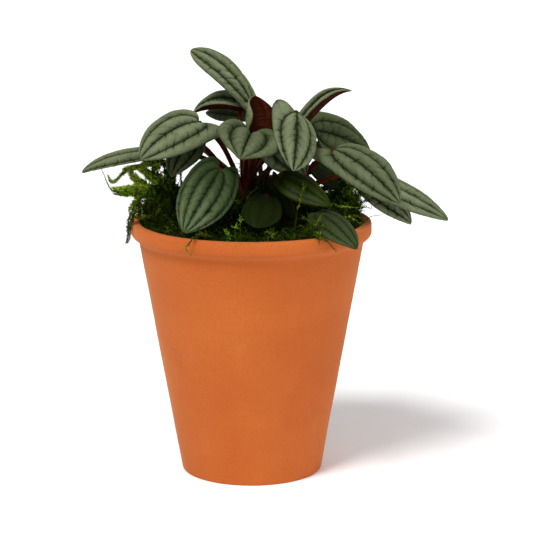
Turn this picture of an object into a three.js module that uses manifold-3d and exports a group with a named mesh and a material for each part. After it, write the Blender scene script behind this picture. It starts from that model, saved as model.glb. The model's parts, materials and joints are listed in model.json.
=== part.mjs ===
// A potted peperomia: a round clay pot filled with soil, a bed of moss on the soil, and four
// small plants whose dark red stalks carry puckered, silver-green leaves with maroon undersides.
// Millimetres, +Z up. The origin is on the pot's axis, on the surface that the pot stands on,
// and the view from -Y is the front.

import * as THREE from 'three';
import { mergeVertices } from 'three/addons/utils/BufferGeometryUtils.js';
import Module from 'manifold-3d';

const wasm = await Module();
wasm.setup();

// Pot
const POT_HEIGHT = 116.3;
const POT_FOOT_RADIUS = 32.1; // the wall's outside, carried down to the surface
const POT_NECK_RADIUS = 51; // the wall's outside, just under the rim
const POT_NECK_HEIGHT = 106.5;
const POT_RIM_RADIUS = 54.8; // the widest place of the rolled rim
const POT_RIM_WIDEST = 112;
const POT_LIP_RADIUS = 50.9; // the inner edge of the rim
const POT_WALL = 4.9;
const POT_FLOOR = 8;
const POT_EDGE = 1.4; // rounding at the foot
const POT_SLOPE = (POT_NECK_RADIUS - POT_FOOT_RADIUS) / POT_NECK_HEIGHT;
const DRAIN_RADIUS = 3.5;
const DRAIN_CIRCLE = 16;
const DRAIN_COUNT = 3;
const TURN_STEPS = 48;

// Filling
const SOIL_TOP = 101;
const SEAT_GAP = 0.3; // clear space between pieces that touch
const MOSS_EDGE = 115.2; // where the moss meets the rim
const MOSS_RINGS = [46, 39, 31, 22, 12];
const MOSS_LUMP = 1.5;
const MOSS_SHOOTS = 30;
const SHOOT_LENGTH = [4, 8];
const SHOOT_RADIUS = 1.2;
const SPRAY_STEM = 0.65;
const LEAFLET_RADIUS = 0.8;
const LEAFLET_PITCH = 2.8;
const GOLDEN_TURN = 2.4; // radians between one shoot and the next

// Humps of the bed: centre, height over the edge and spread.
const MOSS_HUMPS = [
  { x: -2, y: 8, height: 11, spread: 20 },
  { x: -39, y: 8, height: 20, spread: 13 },
  { x: 38, y: 7, height: 9, spread: 13 },
  { x: 4, y: 32, height: 8, spread: 16 },
];

// Cushions of moss that lie over the rim: middle and radius.
const MOSS_CUSHIONS = [
  { middle: [-47.5, 3, 124.4], radius: 7.6 },
  { middle: [-44, 12, 129], radius: 9 },
];

// Sprays that stand out of the bed: the points of the stem, and how long the leaflets are.
const MOSS_SPRAYS = [
  { stem: [[-44, 4, 127], [-50, 3, 129.5], [-56, 2, 129.2], [-62.4, 2, 128.6]], leaflet: 3.2 },
  { stem: [[-60, 2, 128.8], [-64, 2, 130.4], [-66, 2, 133.5], [-67.4, 2, 138]] },
  {
    stem: [
      [-40, 8, 134], [-50.5, 8, 138], [-57, 6, 138.2], [-60, 4, 135], [-62.5, 2, 133], [-65, 2, 135.5],
    ],
    leaflet: 1.8,
  },
  { stem: [[-46, 4, 131], [-53, 4, 132.5], [-55.5, 4, 137.5]], leaflet: 2.4 },
  { stem: [[-46, 4, 127], [-52, 2, 124], [-56.8, 0, 117], [-57.2, 0, 112], [-58, 0, 106]] },
  {
    stem: [
      [-18, -38, 116], [-22.5, -45.5, 118], [-25.5, -50, 117.4], [-29.6, -49.2, 114.4], [-27.6, -50.2, 112],
    ],
  },
  { stem: [[30, -10, 116], [37, -8, 123.6], [44.5, -6, 122.3], [53.5, -2, 122.8]], leaflet: 2 },
  { stem: [[44, -14, 114.5], [49.5, -14, 118], [52, -14, 119.8], [58.7, -12, 121]] },
  { stem: [[22, -38, 116], [26.5, -43.5, 118.2], [31, -46.8, 117], [33.6, -46, 114.2]] },
  { stem: [[19, -32, 116], [20.3, -34, 128], [21.8, -34, 132.3], [22.2, -34, 139.8]], leaflet: 1.4 },
];

// Plants
const BLADE_THICKNESS = 0.9;
const BLADE_ROWS = [0.05, 0.15, 0.3, 0.5, 0.7, 0.87];
const BLADE_COLUMNS = 10;
const LOBE_PLACE = 0.1; // where they are fullest
const VEIN_PITCH = 0.4; // from the midrib to the next vein, over half the width
const STALK_RADIUS = 1.15;
const STALK_SIDES = 5;
const STALK_STEPS = 5;
const CROWN_RADIUS = 3.2;
const CROWN_BOTTOM = 90;
const CROWN_ROOT = 8; // how far under the crown's top the stalks start

const CLAY = { color: 0xcb6a35, roughness: 0.85, metalness: 0 };
const SOIL = { color: 0x2b2018, roughness: 0.95, metalness: 0 };
const MOSS = { color: 0x4a6a1e, roughness: 0.9, metalness: 0 };
const STALK = { color: 0x5a1a10, roughness: 0.5, metalness: 0 };
const SILVER_LEAF = { color: 0x7d917b, roughness: 0.55, metalness: 0 };

// Each plant has its crown's place and its leaves. A leaf has base, where the stalk joins the
// blade; tip; face, the way its upper side looks; and width. Where they aren't the usual ones
// it also has arch, how far it bends back along its length; fold, how far each half is lifted
// from flat; curl, how far each half rolls up towards its margin, or down where it is negative,
// all in radians; hook, how far the tip drops; lobes, how far the two lobes reach back past the
// stalk, over the length; funnel, how far they rise; taper, larger where the blade stays broad
// towards the tip; pucker, how high the bands stand between the veins; and via, points on the
// way of its stalk.
const USUAL_LEAF = {
  arch: 0.5, fold: -0.1, curl: -0.35, hook: 0, lobes: 0.24, funnel: 1.2, taper: 2.2, pucker: 0.8,
};

const PLANTS = [
  {
    crown: [-3, 4],
    top: 128,
    leaves: [
      {
        name: 'leaf_01', base: [-1, 9, 169.5], tip: [-28, 14, 190.5], face: [0.45, -0.6, 0.65],
        width: 16, arch: 0.9, fold: -0.2, taper: 3,
        via: [[-0.5, 6, 140], [0.5, 7, 156], [0, 8, 164]],
      },
      {
        name: 'leaf_02', base: [-4.5, 15, 164], tip: [-26.5, 20, 162.5], face: [-0.1, -0.4, 0.9],
        width: 17, arch: 0.65, fold: 0.65, curl: 0.1,
        via: [[-4, 7, 140], [-5, 9.2, 156], [-5.2, 11.5, 161.6]],
      },
      {
        name: 'leaf_03', base: [-1.5, 16, 160], tip: [-21, 27, 160], face: [0, -0.35, 1],
        width: 17, taper: 3,
      },
      {
        name: 'leaf_04', base: [0.5, -2, 155], tip: [1.8, 1, 173], face: [-0.55, 1, 0.1],
        width: 24, fold: -0.4, curl: -1.3,
      },
      {
        name: 'leaf_05', base: [-22.5, -8, 161], tip: [-49, -22, 147.5], face: [-0.15, -0.7, 0.75],
        width: 24.5, arch: 1.2, lobes: 0.3, taper: 2.6,
        via: [[-5, 2, 132], [-12, -2, 149], [-18.5, -6, 157.8]],
      },
      {
        name: 'leaf_06', base: [-38, 8, 146], tip: [-75.5, 0, 140], face: [0, -0.45, 1],
        width: 15, arch: 0.4, hook: 1.5,
        via: [[-8, 5, 133], [-19, 6, 142.2], [-28, 7.5, 145.2]],
      },
      {
        name: 'leaf_07', base: [-26.5, -2, 152.5], tip: [-35.5, -16, 139], face: [-0.4, -0.7, 0.6],
        width: 17, lobes: 0.3,
        via: [[-5, 4, 131], [-13.5, 2, 140.4], [-20.3, 0, 148.7]],
      },
      {
        name: 'leaf_09', base: [-1, -12, 156.5], tip: [-5.5, -38, 150], face: [0.25, -0.4, 0.9],
        width: 27.5, fold: 0.27, funnel: 3, taper: 4, pucker: 1.2,
      },
      {
        name: 'leaf_10', base: [20, -10, 166.5], tip: [18, -36, 144.5], face: [0.57, -0.63, 0.52],
        width: 23, fold: -0.3,
      },
      {
        name: 'leaf_11', base: [10, -5.5, 156.3], tip: [24, -12, 138.6], face: [0.2, -0.8, 0.5],
        width: 23,
      },
      {
        name: 'leaf_12', base: [24, 6, 158], tip: [44.5, 8, 175], face: [-0.35, -0.35, 0.85],
        width: 12, arch: 0.1, fold: 0.6, curl: 0.1, hook: 2.5,
      },
      {
        name: 'leaf_24', base: [-27, 22, 151], tip: [-47, 40, 141], face: [-0.3, 0.4, 0.9],
        width: 18,
      },
      {
        name: 'leaf_13', base: [29, 14, 154.5], tip: [55.5, 26, 142], face: [0.1, -0.75, 0.65],
        width: 29, arch: 0.7, lobes: 0.17,
      },
    ],
  },
  {
    crown: [13, -3],
    top: 126,
    leaves: [
      {
        name: 'leaf_14', base: [37.5, -12, 149.5], tip: [65, -32, 129.5], face: [0.15, -0.75, 0.6],
        width: 21, arch: 0.9, lobes: 0.18,
        via: [[21, -5, 134.5], [28, -8, 143], [33, -10.5, 147.6]],
      },
      {
        name: 'leaf_15', base: [46, 6, 137], tip: [90, 0, 116.5], face: [0.3, -0.5, 0.8],
        width: 16, arch: 0.35, hook: 1,
        via: [[24, -4, 130.5], [31, -4, 134.3], [39.5, -1.5, 136.8]],
      },
      {
        name: 'leaf_16', base: [53, 14, 129], tip: [75, 14, 112.5], face: [0.4, -0.7, 0.7],
        width: 15, hook: 2.5,
        via: [[28, 4, 128], [40, 10, 130]],
      },
      {
        name: 'leaf_17', base: [13.5, -17, 138.6], tip: [34.5, -31, 128.1], face: [0.1, -0.7, 0.7],
        width: 15.5, lobes: 0.13,
      },
      {
        name: 'leaf_20', base: [10, -9, 136], tip: [20, -18, 119.5], face: [-0.75, -0.35, 0.5],
        width: 9,
      },
      {
        name: 'leaf_21', base: [29.5, 2, 139], tip: [44.5, 6, 129.5], face: [0.2, -0.6, 0.8],
        width: 13,
      },
    ],
  },
  {
    crown: [2, -14],
    top: 122,
    leaves: [
      {
        name: 'leaf_08', base: [-14, -22, 142.5], tip: [-29.5, -41, 118], face: [0, -0.9, 0.4],
        width: 24, taper: 2.4,
      },
      {
        name: 'leaf_18', base: [6.5, -20, 130.5], tip: [2, -38, 119.5], face: [0, -0.7, 0.7],
        width: 17, taper: 4,
      },
      {
        name: 'leaf_19', base: [29.5, -30, 124.5], tip: [45.5, -54, 113.5], face: [0.1, -0.5, 0.8],
        width: 17,
        via: [[14, -20, 114], [24, -26, 117]],
      },
    ],
  },
  {
    crown: [5, 23],
    top: 124,
    leaves: [
      {
        name: 'leaf_22', base: [34, 30, 146], tip: [52, 52, 126], face: [0.3, 0.5, 0.8],
        width: 20,
      },
      {
        name: 'leaf_23', base: [14, 34, 150], tip: [20, 58, 128], face: [0.1, 0.6, 0.8],
        width: 20,
      },
      {
        name: 'leaf_25', base: [2, 32, 154], tip: [2, 58, 142], face: [-0.1, 0.3, 0.9],
        width: 18,
      },
      {
        name: 'leaf_26', base: [-16, 40, 128], tip: [-26, 64, 112], face: [-0.2, 0.6, 0.8],
        width: 20,
      },
      {
        name: 'leaf_27', base: [6, 42, 128], tip: [8, 66, 112], face: [0, 0.6, 0.8],
        width: 18,
      },
      {
        name: 'leaf_28', base: [22, 40, 130], tip: [30, 62, 112], face: [0.3, 0.6, 0.8],
        width: 16,
      },
    ],
  },
];

const point = ([x, y, z]) => new THREE.Vector3(x, y, z);

// A closed mesh becomes a solid that can be joined and cut, and back again.
function solidOf(geometry) {
  const bare = geometry.clone();
  for (const name of Object.keys(bare.attributes)) {
    if (name !== 'position') bare.deleteAttribute(name);
  }
  const merged = mergeVertices(bare, 1e-4);
  return new wasm.Manifold(
    new wasm.Mesh({
      numProp: 3,
      vertProperties: new Float32Array(merged.attributes.position.array),
      triVerts: new Uint32Array(merged.index.array),
    }),
  );
}

function geometryOf(solid) {
  const mesh = solid.getMesh();
  const geometry = new THREE.BufferGeometry();
  geometry.setAttribute('position', new THREE.BufferAttribute(mesh.vertProperties, 3));
  geometry.setIndex(new THREE.BufferAttribute(mesh.triVerts, 1));
  return geometry;
}

function largestPiece(solid) {
  const pieces = solid.decompose();
  return pieces.reduce((best, piece) => (piece.volume() > best.volume() ? piece : best));
}

const joined = (solids) => solids.slice(1).reduce((sum, solid) => sum.add(solid), solids[0]);

function indexedMesh(positions, triangles) {
  const geometry = new THREE.BufferGeometry();
  geometry.setAttribute('position', new THREE.Float32BufferAttribute(positions, 3));
  geometry.setIndex(triangles);
  return geometry;
}

// Pot

const innerRadius = (height) => POT_FOOT_RADIUS + POT_SLOPE * height - POT_WALL;

// The inside of the rim leans out to the lip.
function mouthRadius(height) {
  const share = (height - POT_NECK_HEIGHT) / (POT_HEIGHT - POT_NECK_HEIGHT);
  const wall = innerRadius(height);
  return share <= 0 ? wall : wall + (POT_LIP_RADIUS - innerRadius(POT_HEIGHT)) * share;
}

// The section of the wall, from the middle of the foot, up the outside, over the rolled rim and
// down the inside to the middle of the floor.
function potSection() {
  const rimTop = (POT_RIM_RADIUS + POT_LIP_RADIUS) / 2;
  const lipHeight = POT_HEIGHT - 1.5;
  const section = new THREE.Path();
  section.moveTo(0, 0);
  section.lineTo(POT_FOOT_RADIUS - POT_EDGE, 0);
  section.quadraticCurveTo(
    POT_FOOT_RADIUS, 0,
    POT_FOOT_RADIUS + POT_SLOPE * POT_EDGE, POT_EDGE,
  );
  section.lineTo(POT_NECK_RADIUS, POT_NECK_HEIGHT);
  section.bezierCurveTo(
    POT_NECK_RADIUS + 0.5, POT_NECK_HEIGHT + 2.6,
    POT_RIM_RADIUS, POT_NECK_HEIGHT + 2.2,
    POT_RIM_RADIUS, POT_RIM_WIDEST,
  );
  section.quadraticCurveTo(POT_RIM_RADIUS, POT_HEIGHT, rimTop, POT_HEIGHT);
  section.quadraticCurveTo(POT_LIP_RADIUS, POT_HEIGHT, mouthRadius(lipHeight), lipHeight);
  section.lineTo(mouthRadius(POT_NECK_HEIGHT), POT_NECK_HEIGHT);
  section.lineTo(innerRadius(POT_FLOOR + 2), POT_FLOOR + 2);
  section.quadraticCurveTo(
    innerRadius(POT_FLOOR), POT_FLOOR,
    innerRadius(POT_FLOOR) - 2, POT_FLOOR,
  );
  section.lineTo(0, POT_FLOOR);
  section.closePath();
  return section.getPoints(3);
}

// A section is turned round Y and then stood up along Z.
const turned = (section) => new THREE.LatheGeometry(section, TURN_STEPS).rotateX(Math.PI / 2);

function makePot() {
  let pot = solidOf(turned(potSection()));
  for (let n = 0; n < DRAIN_COUNT; n += 1) {
    const angle = (2 * Math.PI * (n + 0.5)) / DRAIN_COUNT;
    const drill = new THREE.CylinderGeometry(DRAIN_RADIUS, DRAIN_RADIUS, 3 * POT_FLOOR, 16);
    drill.rotateX(Math.PI / 2);
    drill.translate(DRAIN_CIRCLE * Math.cos(angle), DRAIN_CIRCLE * Math.sin(angle), 0);
    pot = pot.subtract(solidOf(drill));
  }
  return pot;
}

// Soil

function makeSoil() {
  const floor = POT_FLOOR + SEAT_GAP;
  const section = [
    new THREE.Vector2(0, floor),
    new THREE.Vector2(innerRadius(floor) - 2 - SEAT_GAP, floor),
    new THREE.Vector2(innerRadius(floor + 2) - SEAT_GAP, floor + 2),
    new THREE.Vector2(innerRadius(SOIL_TOP) - SEAT_GAP, SOIL_TOP),
    new THREE.Vector2(0, SOIL_TOP),
  ];
  return solidOf(turned(section));
}

// Moss

function mossHeight(x, y) {
  const reach = Math.min(1, Math.hypot(x, y) / mouthRadius(MOSS_EDGE));
  let height = MOSS_EDGE;
  for (const hump of MOSS_HUMPS) {
    const away = Math.hypot(x - hump.x, y - hump.y) / hump.spread;
    height += hump.height * Math.exp(-away * away);
  }
  const lumps = Math.sin(0.45 * x + 1.3 * Math.sin(0.31 * y)) * Math.cos(0.5 * y + 0.2 * x);
  return height + MOSS_LUMP * lumps * (1 - reach ** 4);
}

// The bed follows the pot's wall up to the rim, and its top is a lumpy mound.
function mossBed() {
  const underside = SOIL_TOP + SEAT_GAP;
  const rings = [];
  const ring = (radius, heightAt) => {
    const row = [];
    for (let n = 0; n < TURN_STEPS; n += 1) {
      const angle = (2 * Math.PI * n) / TURN_STEPS;
      const x = radius * Math.sin(angle);
      const y = -radius * Math.cos(angle);
      row.push([x, y, heightAt(x, y)]);
    }
    rings.push(row);
  };
  ring(innerRadius(underside) - SEAT_GAP, () => underside);
  ring(innerRadius(POT_NECK_HEIGHT) - SEAT_GAP, () => POT_NECK_HEIGHT);
  ring(mouthRadius(MOSS_EDGE) - SEAT_GAP, (x, y) => Math.max(MOSS_EDGE, mossHeight(x, y)));
  for (const radius of MOSS_RINGS) ring(radius, mossHeight);

  const positions = rings.flat(2);
  const triangles = [];
  const count = TURN_STEPS;
  for (let r = 0; r + 1 < rings.length; r += 1) {
    for (let n = 0; n < count; n += 1) {
      const next = (n + 1) % count;
      const a = r * count + n;
      const b = r * count + next;
      triangles.push(a, b, b + count, a, b + count, a + count);
    }
  }
  const bottom = positions.length / 3;
  positions.push(0, 0, underside, 0, 0, mossHeight(0, 0));
  const last = (rings.length - 1) * count;
  for (let n = 0; n < count; n += 1) {
    const next = (n + 1) % count;
    triangles.push(bottom, next, n, bottom + 1, last + n, last + next);
  }
  return solidOf(indexedMesh(positions, triangles));
}

// A slim spike with three sides, its root at the given place.
function spike(root, direction, length, radius) {
  const cone = new THREE.ConeGeometry(radius, length, 3).translate(0, length / 2, 0);
  const upright = new THREE.Vector3(0, 1, 0);
  cone.applyQuaternion(new THREE.Quaternion().setFromUnitVectors(upright, direction.normalize()));
  return solidOf(cone.translate(root.x, root.y, root.z));
}

function mossSpray({ stem, leaflet }) {
  const path = new THREE.CatmullRomCurve3(stem.map(point));
  const parts = [solidOf(tubeMesh(path, SPRAY_STEM, 4, stem.length + 2))];
  if (!leaflet) return parts[0];
  const count = Math.floor(path.getLength() / LEAFLET_PITCH);
  for (let n = 0; n <= count; n += 1) {
    const along = path.getTangentAt(n / count);
    const aside = new THREE.Vector3(0, 0, 1).cross(along).normalize();
    const direction = aside.applyAxisAngle(along, GOLDEN_TURN * n).addScaledVector(along, 0.9);
    parts.push(spike(path.getPointAt(n / count), direction, leaflet, LEAFLET_RADIUS));
  }
  return joined(parts);
}

// Short shoots stand all over the bed, on a spiral that spaces them evenly.
function mossShoots() {
  const random = THREE.MathUtils.seededRandom;
  random(7);
  const shoots = [];
  for (let n = 0; n < MOSS_SHOOTS; n += 1) {
    const radius = (mouthRadius(MOSS_EDGE) - 4) * Math.sqrt((n + 0.5) / MOSS_SHOOTS);
    const x = radius * Math.cos(GOLDEN_TURN * n);
    const y = radius * Math.sin(GOLDEN_TURN * n);
    const direction = new THREE.Vector3(random() - 0.5, random() - 0.5, 0.7);
    const length = THREE.MathUtils.lerp(...SHOOT_LENGTH, random());
    const root = new THREE.Vector3(x, y, mossHeight(x, y) - 1.5);
    shoots.push(spike(root, direction, length, SHOOT_RADIUS));
  }
  return shoots;
}

function makeMoss() {
  const cushions = MOSS_CUSHIONS.map(({ middle, radius }) => {
    return solidOf(new THREE.IcosahedronGeometry(radius, 1).translate(...middle));
  });
  return joined([mossBed(), ...cushions, ...mossShoots(), ...MOSS_SPRAYS.map(mossSpray)]);
}

// Leaves

function leafFrame(leaf) {
  const base = point(leaf.base);
  const along = point(leaf.tip).sub(base);
  const chord = along.length();
  along.normalize();
  const out = point(leaf.face);
  out.addScaledVector(along, -out.dot(along)).normalize();
  const across = new THREE.Vector3().crossVectors(out, along);
  return { base, chord, along, across, out };
}

// One point of a blade: s runs from the stalk (0) to the tip (1), t from one margin (-1) over the
// midrib (0) to the other (1), and lift is how far the point stands off the middle of the blade.
function bladePoint(leaf, frame, s, t, lift) {
  const fullness = 1.25 * (1 - Math.exp(-6.5 * s)) * (1 - s ** leaf.taper);
  const lobe = t * t * (s / LOBE_PLACE) * Math.exp(1 - s / LOBE_PLACE);
  const reach = s - leaf.lobes * lobe;

  const lean = leaf.arch / 2 - leaf.arch * reach;
  const bend = frame.chord / (2 * Math.sin(leaf.arch / 2));
  const forward = bend * (Math.sin(leaf.arch / 2) - Math.sin(lean));
  const raised = bend * (Math.cos(lean) - Math.cos(leaf.arch / 2)) - leaf.hook * s ** 5;
  const normal = frame.out.clone().multiplyScalar(Math.cos(lean));
  normal.addScaledVector(frame.along, -Math.sin(lean));

  const side = Math.sign(t);
  const roll = leaf.curl / (leaf.width / 2);
  const half = (Math.abs(t) * leaf.width * fullness) / 2;
  const slant = leaf.fold + roll * half;
  const sideways = (side * (Math.sin(slant) - Math.sin(leaf.fold))) / roll;
  const upward = (Math.cos(leaf.fold) - Math.cos(slant)) / roll + leaf.funnel * lobe;

  const bands = Math.abs(Math.sin((Math.PI * t) / VEIN_PITCH)) * (1 - 0.5 * t ** 8);
  const stand = lift + leaf.pucker * bands * fullness;
  const x = sideways - side * Math.sin(slant) * stand;
  const z = upward + Math.cos(slant) * stand;
  return frame.base
    .clone()
    .addScaledVector(frame.along, forward)
    .addScaledVector(frame.out, raised)
    .addScaledVector(frame.across, x)
    .addScaledVector(normal, z);
}

// A blade is two like skins, the upper and the lower, joined round the margin.
function bladeMesh(leaf, thickness = BLADE_THICKNESS) {
  const frame = leafFrame(leaf);
  const positions = [];
  const across = BLADE_COLUMNS + 1;
  for (const lift of [thickness / 2, -thickness / 2]) {
    positions.push(...bladePoint(leaf, frame, 0, 0, lift));
    for (const s of BLADE_ROWS) {
      for (let c = 0; c < across; c += 1) {
        positions.push(...bladePoint(leaf, frame, s, (2 * c) / BLADE_COLUMNS - 1, lift));
      }
    }
    positions.push(...bladePoint(leaf, frame, 1, 0, lift));
  }

  const skin = positions.length / 6;
  const rows = BLADE_ROWS.length;
  const at = (row, column) => {
    if (row < 0) return 0;
    return row === rows ? skin - 1 : 1 + row * across + column;
  };
  const triangles = [];
  const bothSkins = (a, b, c) => triangles.push(a, b, c, skin + a, skin + c, skin + b);
  for (let c = 0; c < BLADE_COLUMNS; c += 1) {
    bothSkins(at(-1, 0), at(0, c), at(0, c + 1));
    for (let r = 0; r + 1 < rows; r += 1) {
      const corners = [at(r, c), at(r + 1, c), at(r + 1, c + 1), at(r, c + 1)];
      if (c >= BLADE_COLUMNS / 2) corners.push(corners.shift());
      bothSkins(corners[0], corners[1], corners[2]);
      bothSkins(corners[0], corners[2], corners[3]);
    }
    bothSkins(at(rows - 1, c), at(rows, 0), at(rows - 1, c + 1));
  }
  for (let r = -1; r < rows; r += 1) {
    const [right, rightNext] = [at(r, BLADE_COLUMNS), at(r + 1, BLADE_COLUMNS)];
    const [left, leftNext] = [at(r, 0), at(r + 1, 0)];
    triangles.push(right, rightNext, skin + rightNext, right, skin + rightNext, skin + right);
    triangles.push(left, skin + leftNext, leftNext, left, skin + left, skin + leftNext);
  }
  return indexedMesh(positions, triangles);
}

// The space that a blade keeps clear in the pieces it touches.
function bladeSpace(leaf) {
  const frame = leafFrame(leaf);
  const base = point(leaf.base).addScaledVector(frame.along, -SEAT_GAP).toArray();
  const tip = point(leaf.tip).addScaledVector(frame.along, SEAT_GAP).toArray();
  const grown = { ...leaf, base, tip, width: leaf.width + 2 * SEAT_GAP };
  return solidOf(bladeMesh(grown, BLADE_THICKNESS + 3 * SEAT_GAP));
}

// Stalks

function stalkPath(plant, leaf) {
  const frame = leafFrame(leaf);
  const root = new THREE.Vector3(plant.crown[0], plant.crown[1], plant.top - CROWN_ROOT);
  const joint = frame.base;
  if (leaf.via) return new THREE.CatmullRomCurve3([root, ...leaf.via.map(point), joint]);
  const length = root.distanceTo(joint);
  const rising = new THREE.Vector3(0, 0, 0.45 * length).add(root);
  const arriving = joint.clone();
  arriving.addScaledVector(frame.out, -0.3 * length).addScaledVector(frame.along, -0.15 * length);
  return new THREE.CubicBezierCurve3(root, rising, arriving, joint);
}

function tubeMesh(path, radius, sides, steps) {
  const section = new THREE.Shape();
  for (let n = 0; n < sides; n += 1) {
    const angle = (2 * Math.PI * n) / sides;
    const place = [radius * Math.cos(angle), radius * Math.sin(angle)];
    if (n === 0) section.moveTo(...place);
    else section.lineTo(...place);
  }
  section.closePath();
  return new THREE.ExtrudeGeometry(section, { steps, extrudePath: path, bevelEnabled: false });
}

function crownMesh(plant, room) {
  const length = plant.top - CROWN_BOTTOM + 2 * room;
  const crown = new THREE.CylinderGeometry(0.7 * CROWN_RADIUS + room, CROWN_RADIUS + room, length, 8);
  crown.rotateX(Math.PI / 2);
  return crown.translate(plant.crown[0], plant.crown[1], (plant.top + CROWN_BOTTOM) / 2);
}

// The crown of a plant with all its stalks or, with room, the space that they keep clear.
function plantBody(plant, room = 0) {
  const stalks = plant.leaves.map((leaf) => {
    return solidOf(tubeMesh(stalkPath(plant, leaf), STALK_RADIUS + room, STALK_SIDES, STALK_STEPS));
  });
  return joined([solidOf(crownMesh(plant, room)), ...stalks]);
}

// The whole

const object = new THREE.Group();

function place(name, geometry, finish) {
  const mesh = new THREE.Mesh(geometry, new THREE.MeshStandardMaterial(finish));
  mesh.name = name;
  object.add(mesh);
}

for (const plant of PLANTS) {
  plant.leaves = plant.leaves.map((leaf) => ({ ...USUAL_LEAF, ...leaf }));
}
const leaves = PLANTS.flatMap((plant) => plant.leaves);
const leafSpaces = leaves.map(bladeSpace);
const plantSpace = joined(PLANTS.map((plant) => plantBody(plant, SEAT_GAP)));

place('pot', geometryOf(makePot()), CLAY);
place('potting_soil', geometryOf(makeSoil().subtract(plantSpace)), SOIL);

let moss = makeMoss().subtract(plantSpace);
for (const space of leafSpaces) moss = moss.subtract(space);
place('moss_bed', geometryOf(largestPiece(moss)), MOSS);

PLANTS.forEach((plant, n) => {
  let body = plantBody(plant);
  for (const space of leafSpaces) body = body.subtract(space);
  place(`crown_${n + 1}`, geometryOf(largestPiece(body)), STALK);
});

for (const leaf of leaves) place(leaf.name, bladeMesh(leaf), SILVER_LEAF);

export default object;
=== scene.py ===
import json
import math
import random
from functools import partialmethod
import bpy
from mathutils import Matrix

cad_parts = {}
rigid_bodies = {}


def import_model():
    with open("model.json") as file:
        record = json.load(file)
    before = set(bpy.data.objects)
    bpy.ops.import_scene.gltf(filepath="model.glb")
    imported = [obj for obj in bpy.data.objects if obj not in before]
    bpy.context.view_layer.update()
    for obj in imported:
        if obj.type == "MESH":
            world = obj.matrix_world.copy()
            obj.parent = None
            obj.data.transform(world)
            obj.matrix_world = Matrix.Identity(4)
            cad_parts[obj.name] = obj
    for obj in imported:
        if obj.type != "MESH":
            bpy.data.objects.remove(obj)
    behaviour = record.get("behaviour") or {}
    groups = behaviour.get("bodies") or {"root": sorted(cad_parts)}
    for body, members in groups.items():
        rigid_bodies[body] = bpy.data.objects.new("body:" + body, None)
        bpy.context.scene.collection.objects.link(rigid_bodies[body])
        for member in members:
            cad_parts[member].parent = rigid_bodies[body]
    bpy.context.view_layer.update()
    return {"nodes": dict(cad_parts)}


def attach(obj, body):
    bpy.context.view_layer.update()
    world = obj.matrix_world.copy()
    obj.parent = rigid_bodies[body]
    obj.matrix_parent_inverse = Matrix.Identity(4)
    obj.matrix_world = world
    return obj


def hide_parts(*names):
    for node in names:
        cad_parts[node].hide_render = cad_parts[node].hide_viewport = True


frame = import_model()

from types import SimpleNamespace

import bpy
from mathutils import Vector

scene = bpy.context.scene

# The clay pot: red clay thrown on a wheel, with a rolled rim and three drain holes in the foot,
# fired hard and left without a glaze. The turned section is carried round by Geometry Nodes.

MM = 0.001
POT_HEIGHT = 116.3 * MM
FOOT_RADIUS = 32.1 * MM
NECK_RADIUS = 51 * MM
NECK_HEIGHT = 106.5 * MM
RIM_RADIUS = 54.8 * MM
RIM_WIDEST = 112 * MM
LIP_RADIUS = 50.9 * MM
LIP_DROP = 1.5 * MM
WALL = 4.9 * MM
FLOOR = 8 * MM
FLOOR_ROUND = 2 * MM
FOOT_EDGE = 1.4 * MM
WALL_SLOPE = (NECK_RADIUS - FOOT_RADIUS) / NECK_HEIGHT
WOBBLE = 0.5 * MM  # left by the hand on the wheel
POT_STEPS = 180
DRAINS = 3
DRAIN_RADIUS = 3.5 * MM
DRAIN_CIRCLE = 16 * MM
FULL_TURN = 2 * math.pi


def feed(entry, value):
    """Sets a node's input, or links it; a node stands for its first output."""
    if isinstance(value, Formula):
        value = value.socket
    if isinstance(value, bpy.types.Node):
        value = value.outputs[0]
    if isinstance(value, bpy.types.NodeSocket):
        entry.id_data.links.new(value, entry)
    else:
        entry.default_value = value


def add(tree, kind, inputs=None, **settings):
    """A new node with its settings and inputs."""
    node = tree.nodes.new(kind)
    for name, value in settings.items():
        setattr(node, name, value)
    for name, value in (inputs or {}).items():
        feed(node.inputs[name], value)
    return node


def geo(tree, kind, inputs=None, **settings):
    """A new geometry node, named without the words that all of them start with."""
    return add(tree, "GeometryNode" + kind, inputs, **settings)


class Formula:
    """A number in a node tree, wired as Math nodes, so that a rule reads as it is written."""

    def __init__(self, source):
        self.socket = source.outputs[0] if isinstance(source, bpy.types.Node) else source
        self.id_data = source.id_data  # the tree, by the name it has on nodes and sockets

    def math(self, operation, *others, first=()):
        node = add(self.id_data, "ShaderNodeMath", operation=operation)
        for entry, value in zip(node.inputs, (*first, self, *others)):
            feed(entry, value)
        return Formula(node)

    def __rsub__(self, other):
        return self.math("SUBTRACT", first=[other])

    __add__ = __radd__ = partialmethod(math, "ADD")
    __mul__ = __rmul__ = partialmethod(math, "MULTIPLY")
    __sub__ = partialmethod(math, "SUBTRACT")
    __truediv__ = partialmethod(math, "DIVIDE")
    __pow__ = partialmethod(math, "POWER")
    __neg__ = partialmethod(math, "MULTIPLY", -1)
    __abs__ = partialmethod(math, "ABSOLUTE")
    sin = partialmethod(math, "SINE")
    cos = partialmethod(math, "COSINE")
    exp = partialmethod(math, "EXPONENT")
    root = partialmethod(math, "SQRT")
    sign = partialmethod(math, "SIGN")
    at_least = partialmethod(math, "MAXIMUM")
    at_most = partialmethod(math, "MINIMUM")


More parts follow.
